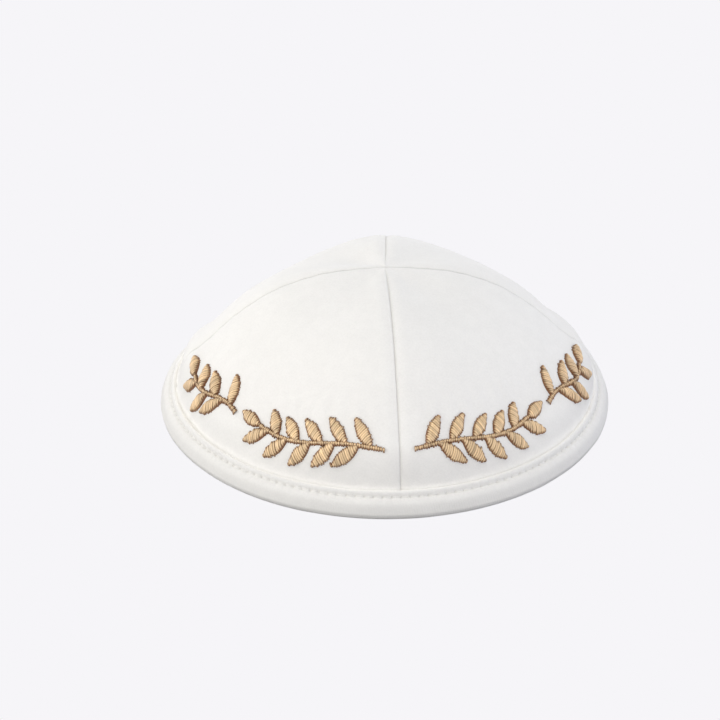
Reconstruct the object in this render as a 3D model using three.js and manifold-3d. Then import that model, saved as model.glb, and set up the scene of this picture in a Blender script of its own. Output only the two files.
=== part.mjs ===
// A cloth skullcap sewn from four panels, with a folded binding round the rim and raised leaf embroidery.
// Millimetres, +Z up. The origin lies on the resting plane under the crown, and the front seam faces -Y.

import * as THREE from 'three';
import Module from 'manifold-3d';

// Sizes of the whole cap
const RIM_DIAMETER = 171; // across the binding where it bulges most
const CAP_HEIGHT = 57.2; // from the resting plane to the crown
const CLOTH_THICKNESS = 1.3;
const SEAM_GAP = 0.3; // between two panels' sewn edges
const CLEARANCE = 0.3; // between pieces that lie on or in each other
const CROWN_TIP_RADIUS = 0.6; // where the four panels' points stop short of each other

// Azimuth of each sewn seam, in degrees, anticlockwise from +X
const SEAM_AZIMUTH = { front: -90, right: -1, back: 85.5, left: 180.5 };

// The cloth's shape from the crown (down 0) to the binding (down 1), as shares of the dome's rise.
// seamDrop is how far a seam lies below the crown, and the sags how much lower each panel's middle lies.
const PROFILE = [
  { down: 0.0, seamDrop: 0.0, frontSag: 0.0, backRightSag: 0.0, backLeftSag: 0.0 },
  { down: 0.2, seamDrop: 0.029, frontSag: 0.035, backRightSag: 0.03, backLeftSag: 0.065 },
  { down: 0.4, seamDrop: 0.135, frontSag: 0.05, backRightSag: 0.05, backLeftSag: 0.075 },
  { down: 0.6, seamDrop: 0.343, frontSag: 0.07, backRightSag: 0.06, backLeftSag: 0.115 },
  { down: 0.8, seamDrop: 0.605, frontSag: 0.1, backRightSag: 0.105, backLeftSag: 0.2 },
  { down: 0.9, seamDrop: 0.7, frontSag: 0.1, backRightSag: 0.115, backLeftSag: 0.2 },
  { down: 1.0, seamDrop: 1.0, frontSag: 0.0, backRightSag: 0.0, backLeftSag: 0.0 },
];
const DOME_SWEEP = 65; // degrees that the profile turns through, which spaces its rings along the cloth

// The folded binding's section
const BINDING_HEIGHT = 9.2; // top of the fold lip
const BINDING_INSET = 5.2; // the lip's middle, inward of the rim
const BINDING_LEAN = 38; // degrees that the tucked cloth leans outward
const LIP_RADIUS = 1;
const STITCH_DROP = 1.9; // the stitched valley, down the face from the lip's middle
const STITCH_DEPTH = 0.85; // the valley's face, out from the lip's middle
const PUFF_DROP = 4.4; // the lower part's fullest line, down the face
const PUFF_DEPTH = 1.45; // and out from the lip's middle
const BULGE_HEIGHT = 2.2; // the widest line above the resting plane
const INNER_WING_THICKNESS = 1.2;
const TUCK_FLOOR = 2.8; // the panels' lower edge above the resting plane
const FOOT_WIDTH = 2; // the flat ring that rests on a table
const FOOT_INSET = 0.9; // its outer edge, inward of the rim

// The raised leaf embroidery low on the two front panels
const EMBROIDERY_RAISE = 0.8;
const EMBROIDERY_MARGIN = 3; // bare cloth between the lip and the lowest leaf tips
const STEM_WIDTH = 1.8;
const STEM_WAVE = 1.4; // how far a stem swings off its middle line
const LEAF_LENGTH = 13;
const LEAF_WIDTH = 5;
const LEAF_ANGLE = 48; // degrees between a leaf and its stem
const LEAF_TAPER = 0.2; // how much shorter the last leaves are, as a share
const LEAF_BLUNTNESS = 0.15; // a leaf's ends, as a share of its width
const THREAD_TOP = 0.7; // a raised strand's flat top, as a share of its foot's width
const STEM_FOOT = 0.1; // a stem's foot and top between the leaves' foot and top, as shares
const STEM_TOP = 0.8;

// Each sprig's place, as shares of its panel's width away from the front seam
const SPRIGS = [
  { name: 'inner', start: 0.045, length: 0.5, leafPairs: 5 },
  { name: 'outer', start: 0.6, length: 0.32, leafPairs: 3 },
];

// How finely the curved faces are cut
const PANEL_ROWS = 14;
const PANEL_COLUMNS = 14;
const TUCK_ROWS = 2;
const BINDING_STEPS = 72;
const LEAF_STEPS = 4;
const STEM_STEPS = 14;

const CLOTH_COLOR = 0xf0eeea;
const BINDING_COLOR = 0xedebe7;
const GOLD_THREAD_COLOR = 0xbd9f78;

const radians = THREE.MathUtils.degToRad;

// The section's frame, in the (radius, height) plane: along runs down the tucked cloth, and out is outward
const rimRadius = RIM_DIAMETER / 2;
const along = new THREE.Vector2(Math.sin(radians(BINDING_LEAN)), -Math.cos(radians(BINDING_LEAN)));
const out = new THREE.Vector2(Math.cos(radians(BINDING_LEAN)), Math.sin(radians(BINDING_LEAN)));
const lipMiddle = new THREE.Vector2(rimRadius - BINDING_INSET, BINDING_HEIGHT - LIP_RADIUS);
const fromLip = (down, outward) =>
  lipMiddle.clone().addScaledVector(along, down).addScaledVector(out, outward);

// The cloth's outer face meets the binding beside the lip and is tucked in down to the channel's floor
const tuckDepth = -(LIP_RADIUS + CLEARANCE);
const clothBase = fromLip(0, tuckDepth);
const tuckLength = (clothBase.y - TUCK_FLOOR) / -along.y;
const domeRise = CAP_HEIGHT - clothBase.y;

// A smooth value from one column of the profile: cubics between its rows that don't swing past them
function profileValue(column, down) {
  const last = PROFILE.length - 1;
  const slope = (row) =>
    (PROFILE[row + 1][column] - PROFILE[row][column]) / (PROFILE[row + 1].down - PROFILE[row].down);
  const innerTangent = (row) => {
    const before = slope(row - 1);
    const after = slope(row);
    return before * after > 0 ? (2 * before * after) / (before + after) : 0;
  };
  const tangent = (row) => {
    if (row === 0) return (3 * slope(0) - innerTangent(1)) / 2;
    if (row === last) return (3 * slope(last - 1) - innerTangent(last - 1)) / 2;
    return innerTangent(row);
  };
  const row = Math.min(PROFILE.findLastIndex((entry) => entry.down <= down), last - 1);
  const width = PROFILE[row + 1].down - PROFILE[row].down;
  const x = (down - PROFILE[row].down) / width;
  const start = PROFILE[row][column];
  const end = PROFILE[row + 1][column];
  return (
    start * (1 + 2 * x) * (1 - x) ** 2 +
    end * (3 - 2 * x) * x ** 2 +
    width * x * (1 - x) * (tangent(row) * (1 - x) - tangent(row + 1) * x)
  );
}

const ringRadius = (down) =>
  (clothBase.x * Math.sin(down * radians(DOME_SWEEP))) / Math.sin(radians(DOME_SWEEP));
const downAtRadius = (radius) =>
  Math.asin((radius * Math.sin(radians(DOME_SWEEP))) / clothBase.x) / radians(DOME_SWEEP);

function polarPoint(radius, azimuth, height) {
  return new THREE.Vector3(radius * Math.cos(azimuth), radius * Math.sin(azimuth), height);
}

// A point of a panel's outer face, across from its first seam (0) to its second (1)
function clothPoint(panel, down, across) {
  const middle = Math.sin(Math.PI * across) ** 2;
  const drop = profileValue('seamDrop', down) + profileValue(panel.sag, down) * middle;
  return polarPoint(ringRadius(down), clothAzimuth(panel, across), CAP_HEIGHT - domeRise * drop);
}

function clothAzimuth(panel, across) {
  return radians(THREE.MathUtils.lerp(panel.from, panel.to, across));
}

// The outward direction square to the cloth's fall, in the upright plane through the crown
function clothNormal(panel, down, across) {
  const step = 0.002;
  const lower = Math.min(down + step, 1);
  const downward = clothPoint(panel, lower, across).sub(clothPoint(panel, lower - 2 * step, across));
  const sideways = polarPoint(1, clothAzimuth(panel, across) + Math.PI / 2, 0);
  return downward.cross(sideways).normalize();
}

// A closed body from flat lists of points and triangles
function bodyGeometry(points, triangles) {
  const geometry = new THREE.BufferGeometry();
  geometry.setAttribute('position', new THREE.Float32BufferAttribute(points.flatMap((p) => p.toArray()), 3));
  geometry.setIndex(triangles);
  return geometry;
}

// A closed wall between a grid of outer points and the matching grid of inner ones
function wallGeometry(outer, inner) {
  const rows = outer.length;
  const columns = outer[0].length;
  const triangles = [];
  const quad = (a, b, c, d) => triangles.push(a, b, c, a, c, d);
  const outerAt = (row, column) => row * columns + column;
  const innerAt = (row, column) => rows * columns + outerAt(row, column);
  for (let row = 0; row < rows - 1; row++) {
    for (let column = 0; column < columns - 1; column++) {
      const corners = [[row, column], [row + 1, column], [row + 1, column + 1], [row, column + 1]];
      quad(...corners.map((corner) => outerAt(...corner)));
      quad(...corners.reverse().map((corner) => innerAt(...corner)));
    }
    const end = columns - 1;
    quad(outerAt(row + 1, 0), outerAt(row, 0), innerAt(row, 0), innerAt(row + 1, 0));
    quad(outerAt(row, end), outerAt(row + 1, end), innerAt(row + 1, end), innerAt(row, end));
  }
  for (let column = 0; column < columns - 1; column++) {
    const end = rows - 1;
    quad(outerAt(0, column), outerAt(0, column + 1), innerAt(0, column + 1), innerAt(0, column));
    quad(outerAt(end, column + 1), outerAt(end, column), innerAt(end, column), innerAt(end, column + 1));
  }
  return bodyGeometry([...outer.flat(), ...inner.flat()], triangles);
}

// One panel: the dome's share between two seams, and below it the edge that is tucked into the binding
function panelGeometry(panel) {
  const outer = [];
  const inner = [];
  const width = radians(panel.to - panel.from);
  const acrossAt = (radius, column) => {
    const edge = Math.asin(SEAM_GAP / 2 / radius) / width;
    return THREE.MathUtils.lerp(edge, 1 - edge, column / PANEL_COLUMNS);
  };
  const columns = [...Array(PANEL_COLUMNS + 1).keys()];
  const crownShare = downAtRadius(CROWN_TIP_RADIUS);
  for (let row = 0; row < PANEL_ROWS; row++) {
    const down = THREE.MathUtils.lerp(crownShare, 1, row / PANEL_ROWS);
    const acrosses = columns.map((column) => acrossAt(ringRadius(down), column));
    const ring = acrosses.map((across) => clothPoint(panel, down, across));
    outer.push(ring);
    inner.push(ring.map((point, column) =>
      point.clone().addScaledVector(clothNormal(panel, down, acrosses[column]), -CLOTH_THICKNESS)));
  }
  for (let row = 0; row <= TUCK_ROWS; row++) {
    const face = fromLip((tuckLength * row) / TUCK_ROWS, tuckDepth);
    const back = fromLip((tuckLength * row) / TUCK_ROWS, tuckDepth - CLOTH_THICKNESS);
    const azimuths = columns.map((column) =>
      radians(panel.from) + acrossAt(face.x, column) * width);
    outer.push(azimuths.map((azimuth) => polarPoint(face.x, azimuth, face.y)));
    inner.push(azimuths.map((azimuth) => polarPoint(back.x, azimuth, back.y)));
  }
  return wallGeometry(outer, inner);
}

// Points of an arc in the section's plane, from one direction to another
function arcPoints(middle, radius, from, to, steps) {
  return [...Array(steps + 1).keys()].map((step) => {
    const angle = radians(THREE.MathUtils.lerp(from, to, step / steps));
    return new THREE.Vector2(middle.x + radius * Math.cos(angle), middle.y + radius * Math.sin(angle));
  });
}

// The binding's section: fold lip, stitched valley, puffed lower part, rolled rim, foot and inner wing,
// round a channel for the panels' lower edges
function bindingSection() {
  const lipSteps = 4;
  const faceSteps = 7;
  const rollSteps = 3;
  const innerSteps = 3;
  const lip = arcPoints(lipMiddle, LIP_RADIUS, BINDING_LEAN + 180, BINDING_LEAN, lipSteps);
  const bulge = new THREE.Vector2(rimRadius, BULGE_HEIGHT);
  const face = new THREE.SplineCurve([
    lip.at(-1),
    fromLip(STITCH_DROP, STITCH_DEPTH),
    fromLip(PUFF_DROP, PUFF_DEPTH),
    bulge,
  ]).getPoints(faceSteps);
  const footOuter = new THREE.Vector2(rimRadius - FOOT_INSET, 0);
  const roll = new THREE.QuadraticBezierCurve(
    bulge,
    new THREE.Vector2(rimRadius, BULGE_HEIGHT / 3),
    footOuter,
  ).getPoints(rollSteps);
  const footInner = new THREE.Vector2(footOuter.x - FOOT_WIDTH, 0);
  const channelInner = tuckDepth - CLOTH_THICKNESS - CLEARANCE;
  const channelFloor = tuckLength + CLEARANCE;
  const wingFace = channelInner - INNER_WING_THICKNESS;
  const faceToTable = fromLip(0, wingFace).y / -along.y;
  const wingRoll = new THREE.QuadraticBezierCurve(
    footInner,
    fromLip(faceToTable, wingFace),
    fromLip(tuckLength, wingFace),
  ).getPoints(innerSteps);
  const wingEnd = arcPoints(
    fromLip(0, channelInner - INNER_WING_THICKNESS / 2),
    INNER_WING_THICKNESS / 2,
    BINDING_LEAN + 180,
    BINDING_LEAN,
    innerSteps,
  );
  return [
    ...lip,
    ...face.slice(1),
    ...roll.slice(1),
    footInner,
    ...wingRoll.slice(1),
    ...wingEnd,
    fromLip(channelFloor, channelInner),
    fromLip(channelFloor, tuckDepth + CLEARANCE),
  ];
}

function bindingGeometry() {
  const section = bindingSection();
  const outline = [...section, section[0]].reverse();
  return new THREE.LatheGeometry(outline, BINDING_STEPS).rotateX(Math.PI / 2);
}

// The share down the cloth that lies a given length above its base, walked up from there in short steps
function downAtClimb(panel, across, climb) {
  const step = 0.01;
  let remaining = climb;
  let lower = clothPoint(panel, 1, across);
  for (let down = 1; down > step; down -= step) {
    const upper = clothPoint(panel, down - step, across);
    const length = upper.distanceTo(lower);
    if (length >= remaining) return down - (step * remaining) / length;
    remaining -= length;
    lower = upper;
  }
  return 0;
}

// The stems' middle line, up the cloth from its base behind the lip, leaves the margin under the leaves
const stemClimb =
  2 * LIP_RADIUS + EMBROIDERY_MARGIN + STEM_WAVE + LEAF_LENGTH * Math.sin(radians(LEAF_ANGLE));

// The cloth of a front panel as a flat field for embroidery. Its points are given by their distance from the
// front seam and their climb from the cloth's base, and its width is measured along the stems' middle line.
function embroideryField(panel, side) {
  const width = ringRadius(downAtClimb(panel, 0.5, stemClimb)) * radians(panel.to - panel.from);
  const point = (distance, climb, lift) => {
    const across = side > 0 ? distance / width : 1 - distance / width;
    const down = downAtClimb(panel, across, climb);
    return clothPoint(panel, down, across).addScaledVector(clothNormal(panel, down, across), lift);
  };
  return { side, width, point };
}

// A closed body through rings of equal count, with flat ends
function loftGeometry(rings) {
  const count = rings[0].length;
  const triangles = [];
  for (let ring = 0; ring < rings.length - 1; ring++) {
    for (let k = 0; k < count; k++) {
      const a = ring * count + k;
      const b = ring * count + ((k + 1) % count);
      triangles.push(a, b, b + count, a, b + count, a + count);
    }
  }
  const lastRing = (rings.length - 1) * count;
  for (let k = 1; k < count - 1; k++) {
    triangles.push(0, k + 1, k);
    triangles.push(lastRing, lastRing + k, lastRing + k + 1);
  }
  return bodyGeometry(rings.flat(), triangles);
}

const wasm = await Module();
wasm.setup();

function solid(geometry) {
  const vertProperties = new Float32Array(geometry.getAttribute('position').array);
  const triVerts = new Uint32Array(geometry.getIndex().array);
  return new wasm.Manifold(new wasm.Mesh({ numProp: 3, vertProperties, triVerts }));
}

function solidGeometry(body) {
  const mesh = body.getMesh();
  const geometry = new THREE.BufferGeometry();
  geometry.setAttribute('position', new THREE.BufferAttribute(new Float32Array(mesh.vertProperties), 3));
  geometry.setIndex(new THREE.BufferAttribute(new Uint32Array(mesh.triVerts), 1));
  return geometry;
}

// A raised strand along a flat path over the cloth: a foot on the cloth and a narrower flat top
function strandSolid(field, pathPoint, halfWidth, foot, top, steps) {
  const nudge = 0.01;
  const rings = [];
  for (let step = 0; step <= steps; step++) {
    const share = step / steps;
    const here = pathPoint(share);
    const ahead = pathPoint(share + nudge).sub(pathPoint(share - nudge)).normalize();
    const corner = (width, lift) => field.point(here.x - ahead.y * width, here.y + ahead.x * width, lift);
    const half = halfWidth(share);
    const ring = [
      corner(half, foot),
      corner(half * THREAD_TOP, top),
      corner(-half * THREAD_TOP, top),
      corner(-half, foot),
    ];
    rings.push(field.side > 0 ? ring : ring.reverse());
  }
  return solid(loftGeometry(rings));
}

// One sprig: a waving stem, pairs of leaves that shorten towards its end, and a leaf at the end
function sprigGeometry(field, sprig) {
  const start = sprig.start * field.width;
  const length = sprig.length * field.width - LEAF_LENGTH / 2;
  const stemLine = (share) =>
    new THREE.Vector2(start + length * share, stemClimb + STEM_WAVE * Math.sin(2 * Math.PI * share));
  const leafFoot = CLEARANCE;
  const leafTop = leafFoot + EMBROIDERY_RAISE;
  const stemFoot = leafFoot + EMBROIDERY_RAISE * STEM_FOOT;
  const stemTop = leafFoot + EMBROIDERY_RAISE * STEM_TOP;
  let body = strandSolid(field, stemLine, () => STEM_WIDTH / 2, stemFoot, stemTop, STEM_STEPS);

  const addLeaf = (root, turn) => {
    const base = stemLine(root);
    const nudge = 0.01;
    const ahead = stemLine(root + nudge).sub(stemLine(root - nudge)).normalize();
    const direction = ahead.rotateAround(new THREE.Vector2(), radians(turn));
    const leafLength = LEAF_LENGTH * (1 - LEAF_TAPER * root);
    const leafLine = (share) => base.clone().addScaledVector(direction, leafLength * share);
    const halfWidth = (share) =>
      (LEAF_WIDTH / 2) * (LEAF_BLUNTNESS + (1 - LEAF_BLUNTNESS) * Math.sin(Math.PI * share));
    body = body.add(strandSolid(field, leafLine, halfWidth, leafFoot, leafTop, LEAF_STEPS));
  };
  for (let leaf = 0; leaf < 2 * sprig.leafPairs; leaf++) {
    const root = (leaf + 1) / (2 * sprig.leafPairs + 1);
    addLeaf(root, leaf % 2 ? -LEAF_ANGLE : LEAF_ANGLE);
  }
  addLeaf(1, 0);
  return solidGeometry(body);
}

function clothMaterial(color) {
  return new THREE.MeshStandardMaterial({ color, roughness: 0.95, metalness: 0 });
}

function goldThreadMaterial() {
  return new THREE.MeshStandardMaterial({ color: GOLD_THREAD_COLOR, roughness: 0.5, metalness: 0 });
}

function namedMesh(name, geometry, material) {
  const mesh = new THREE.Mesh(geometry, material);
  mesh.name = name;
  return mesh;
}

const PANELS = {
  front_right: { from: SEAM_AZIMUTH.front, to: SEAM_AZIMUTH.right, sag: 'frontSag' },
  back_right: { from: SEAM_AZIMUTH.right, to: SEAM_AZIMUTH.back, sag: 'backRightSag' },
  back_left: { from: SEAM_AZIMUTH.back, to: SEAM_AZIMUTH.left, sag: 'backLeftSag' },
  front_left: { from: SEAM_AZIMUTH.left, to: SEAM_AZIMUTH.front + 360, sag: 'frontSag' },
};

const skullcap = new THREE.Group();
for (const [name, panel] of Object.entries(PANELS)) {
  skullcap.add(namedMesh(`panel_${name}`, panelGeometry(panel), clothMaterial(CLOTH_COLOR)));
}
skullcap.add(namedMesh('rim_binding', bindingGeometry(), clothMaterial(BINDING_COLOR)));
const fields = {
  right: embroideryField(PANELS.front_right, 1),
  left: embroideryField(PANELS.front_left, -1),
};
for (const [side, field] of Object.entries(fields)) {
  for (const sprig of SPRIGS) {
    const name = `embroidery_${side}_${sprig.name}`;
    skullcap.add(namedMesh(name, sprigGeometry(field, sprig), goldThreadMaterial()));
  }
}

export default skullcap;
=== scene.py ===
"""Kippah skullcap: four sewn panels, a folded and topstitched binding, and leaf sprigs in gold thread."""
import math

import bpy
import numpy as np
from bpy.props import FloatProperty, FloatVectorProperty, PointerProperty
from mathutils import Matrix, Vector, noise


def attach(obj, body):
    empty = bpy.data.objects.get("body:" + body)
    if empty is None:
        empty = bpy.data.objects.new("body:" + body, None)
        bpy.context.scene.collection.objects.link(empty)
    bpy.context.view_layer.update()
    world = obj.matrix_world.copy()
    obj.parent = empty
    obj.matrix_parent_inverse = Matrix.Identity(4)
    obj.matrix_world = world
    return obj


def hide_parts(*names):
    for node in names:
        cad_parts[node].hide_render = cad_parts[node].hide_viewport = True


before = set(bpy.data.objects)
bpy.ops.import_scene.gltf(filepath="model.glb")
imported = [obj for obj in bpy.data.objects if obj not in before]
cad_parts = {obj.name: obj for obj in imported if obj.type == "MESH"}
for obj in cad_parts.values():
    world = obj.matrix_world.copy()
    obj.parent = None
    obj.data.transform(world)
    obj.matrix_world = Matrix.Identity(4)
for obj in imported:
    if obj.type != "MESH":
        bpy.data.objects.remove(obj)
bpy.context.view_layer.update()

bl_info = {
    "name": "Kippah Skullcap",
    "version": (1, 0, 0),
    "blender": (4, 5, 0),
    "location": "View3D > Sidebar > Kippah",
    "description": "Sews a four-panel skullcap with a folded binding and satin-stitched leaf sprigs",
    "category": "Object",
}

MM = 0.001

# The cap's form as its solids have it, in millimetres and degrees
RIM_RADIUS = 85.5
CAP_HEIGHT = 57.2
CLOTH_THICKNESS = 1.3
CLEARANCE = 0.3
DOME_SWEEP = math.radians(65)
PROFILE = {
    "down": (0.0, 0.2, 0.4, 0.6, 0.8, 0.9, 1.0),
    "seam_drop": (0.0, 0.029, 0.135, 0.343, 0.605, 0.7, 1.0),
    "front_sag": (0.0, 0.035, 0.05, 0.07, 0.1, 0.1, 0.0),
    "back_right_sag": (0.0, 0.03, 0.05, 0.06, 0.105, 0.115, 0.0),
    "back_left_sag": (0.0, 0.065, 0.075, 0.115, 0.2, 0.2, 0.0),
}
PANELS = {
    "front_right": {"start": -90.0, "end": -1.0, "sag": "front_sag", "front": 1},
    "back_right": {"start": -1.0, "end": 85.5, "sag": "back_right_sag", "front": 0},
    "back_left": {"start": 85.5, "end": 180.5, "sag": "back_left_sag", "front": 0},
    "front_left": {"start": 180.5, "end": 270.0, "sag": "front_sag", "front": -1},
}
# For each panel's first and second seam: how sharply the cloth turns down, which also sets how dark the
# painted shade along it is, how far it slopes towards the seam, and how full its shoulder is above the
# binding
SEWN_EDGES = {
    "front_right": {"dips": (0.18, 0.9), "slopes": (1.0, 0.0), "shoulders": (0.0, 1.2)},
    "back_right": {"dips": (0.9, 0.04), "slopes": (0.3, 0.6), "shoulders": (1.2, 0.0)},
    "back_left": {"dips": (0.04, 0.9), "slopes": (0.0, 0.4), "shoulders": (0.0, -0.2)},
    "front_left": {"dips": (0.9, 0.18), "slopes": (0.0, 0.0), "shoulders": (-0.2, 0.0)},
}

# Where the limp rim leaves its circle: each place's direction and half width in degrees, and how far out it
# goes in millimetres. The cloth follows it from a share of the way down.
RIM_SWELLS = {
    "left_back": {"turn": 152.0, "half_width": 9.0, "out": -1.2},
    "right_back": {"turn": 21.0, "half_width": 9.0, "out": 0.9},
}
RIM_SWELLS_FROM = 0.8

# The folded binding's section, in its own frame: along runs down the tucked cloth, out is outward
BINDING_LEAN = math.radians(38)
ALONG = np.array([math.sin(BINDING_LEAN), -math.cos(BINDING_LEAN)])
OUT = np.array([math.cos(BINDING_LEAN), math.sin(BINDING_LEAN)])
BINDING_HEIGHT = 9.2
LIP_INSET = 5.2
LIP_RADIUS = 1.0
LIP_MIDDLE = np.array([RIM_RADIUS - LIP_INSET, BINDING_HEIGHT - LIP_RADIUS])
STITCH_DROP = 1.5
STITCH_DEPTH = 0.85
PUFF_DROP = 4.4
PUFF_DEPTH = 1.45
BULGE_HEIGHT = 2.2
WING_THICKNESS = 1.2
TUCK_FLOOR = 2.8
FOOT_WIDTH = 2.0
FOOT_INSET = 0.9
TUCK_DEPTH = -(LIP_RADIUS + CLEARANCE)

# The sprigs' layout on the front panels, in millimetres, degrees and shares of the panel's width
STEM_WIDTH = 1.8
STEM_WAVE = 1.4
LEAF_LENGTH = 13.0
LEAF_WIDTH = 5.0
LEAF_ANGLE = math.radians(48)
LEAF_TAPER = 0.2
LEAF_BLUNTNESS = 0.15
EMBROIDERY_MARGIN = 3.0
STEM_CLIMB = 2 * LIP_RADIUS + EMBROIDERY_MARGIN + STEM_WAVE + LEAF_LENGTH * math.sin(LEAF_ANGLE)
SPRIGS = {
    "inner": {"start": 0.045, "length": 0.5, "leaf_pairs": 5},
    "outer": {"start": 0.6, "length": 0.32, "leaf_pairs": 3},
}


def from_lip(down, outward):
    """A point of the section, as (radius, height), down and out from the middle of the fold lip."""
    return LIP_MIDDLE + np.multiply.outer(down, ALONG) + np.multiply.outer(outward, OUT)


CLOTH_BASE = from_lip(0.0, TUCK_DEPTH)
TUCK_LENGTH = (CLOTH_BASE[1] - TUCK_FLOOR) / -ALONG[1]
DOME_RISE = CAP_HEIGHT - CLOTH_BASE[1]


def linear(code):
    """An sRGB hex colour as linear red, green and blue."""
    shares = [int(code[i:i + 2], 16) / 255 for i in (1, 3, 5)]
    return tuple(s / 12.92 if s <= 0.04045 else ((s + 0.055) / 1.055) ** 2.4 for s in shares)


def profile_value(column, down):
    """A smooth value from one column of the profile, with no swing past its rows."""
    x, y = np.array(PROFILE["down"]), np.array(PROFILE[column])
    slope = np.diff(y) / np.diff(x)
    product, total = slope[:-1] * slope[1:], slope[:-1] + slope[1:]
    inner = np.where(product > 0, 2 * product / np.where(total == 0, 1, total), 0)
    first, last = (3 * slope[0] - inner[0]) / 2, (3 * slope[-1] - inner[-1]) / 2
    tangent = np.concatenate([[first], inner, [last]])
    row = np.clip(np.searchsorted(x, down, side="right") - 1, 0, len(x) - 2)
    width = x[row + 1] - x[row]
    t = (down - x[row]) / width
    return (y[row] * (1 + 2 * t) * (1 - t) ** 2 + y[row + 1] * (3 - 2 * t) * t ** 2
            + width * t * (1 - t) * (tangent[row] * (1 - t) - tangent[row + 1] * t))


def ring_radius(down):
    """The cap's radius at a share of the way down from the crown to the binding."""
    return CLOTH_BASE[0] * np.sin(down * DOME_SWEEP) / math.sin(DOME_SWEEP)


def polar(radius, azimuth, height):
    """Points from their radius, azimuth and height."""
    return np.stack(np.broadcast_arrays(radius * np.cos(azimuth), radius * np.sin(azimuth), height), -1)


def unit(vectors):
    """The vectors at a length of one."""
    return vectors / np.linalg.norm(vectors, axis=-1, keepdims=True)


def rough(points, size):
    """Smooth unevenness from -1 to 1 whose lumps are about size millimetres across."""
    flat = points.reshape(-1, 3) / size
    return np.array([noise.noise(Vector(p)) for p in flat.tolist()]).reshape(points.shape[:-1])


def swells(points, parts):
    """The sum of soft swells, each with its height, the size of its lumps and its place in the pattern."""
    return sum(height * rough(points + place, size) for height, size, place in parts)


def bump(distance, width):
    """A smooth hump, 1 at no distance and nearly 0 past two widths."""
    return np.exp(-(distance / width) ** 2)


def rise(distance):
    """A smooth step from 0 to 1, which is halfway up at no distance."""
    return 1 / (1 + np.exp(-distance))


def rim_swell(azimuth):
    """How far the rim stands out from its circle, in millimetres."""
    turn = np.degrees(azimuth) % 360
    return sum(swell["out"] * bump(turn - swell["turn"], swell["half_width"])
               for swell in RIM_SWELLS.values())


# The seams and the foot of the cloth: how far sewing and wear reach, in millimetres
SEAM_ROUNDING = 0.27
SEAM_FOOT = 3.0
RIDGE_PLACE = 3.6
RIDGE_WIDTH = 2.2
SEAM_PULL = 0.9
SEAM_PULL_REACH = 2.2
SHOULDER_CLIMB = 6.5
SHOULDER_HEIGHT = 6.0
SHOULDER_WIDTH = 30.0
SEAM_SLOPE = 0.6
SEAM_SLOPE_REACH = 2.5
CROWN_FADE = 12.0
LIP_NESTING = 0.72
NESTING_TOP = 0.7
NESTING_WIDTH = 0.8
# Soft swells of the cloth and of its inside: each one's share or height, the size of its lumps in
# millimetres, and its place in the pattern, so that no two are alike
CLOTH_SWELLS = ((0.65, 26.0, 0.0), (0.35, 9.0, 50.0))
INSIDE_SWELLS = ((0.12, 12.0, 20.0),)
# Ripples beside the seams, and how the embroidered field sinks, and ripples above and below its middle. A
# wander is how far the ripples stray in radians, with the size of its lumps and its place in the pattern.
PUCKER_PITCH = 7.5
PUCKER_WANDER = ((3.0, 14.0, 90.0),)
PUCKER_AT_SEAM = 0.6
PUCKER_REACH = 3.0
FIELD_DIP = 0.22
FIELD_HALF_HEIGHT = 9.0
FIELD_FADE = 0.012
RIPPLE_PITCH = 7.0
RIPPLE_WANDER = ((2.5, 11.0, 130.0),)
RIPPLE_LIFT = 0.5
RIPPLE_ROWS = (
    {"above": 13.0, "width": 5.0, "share": 1.0},
    {"above": -12.0, "width": 3.0, "share": 0.7},
)


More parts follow.
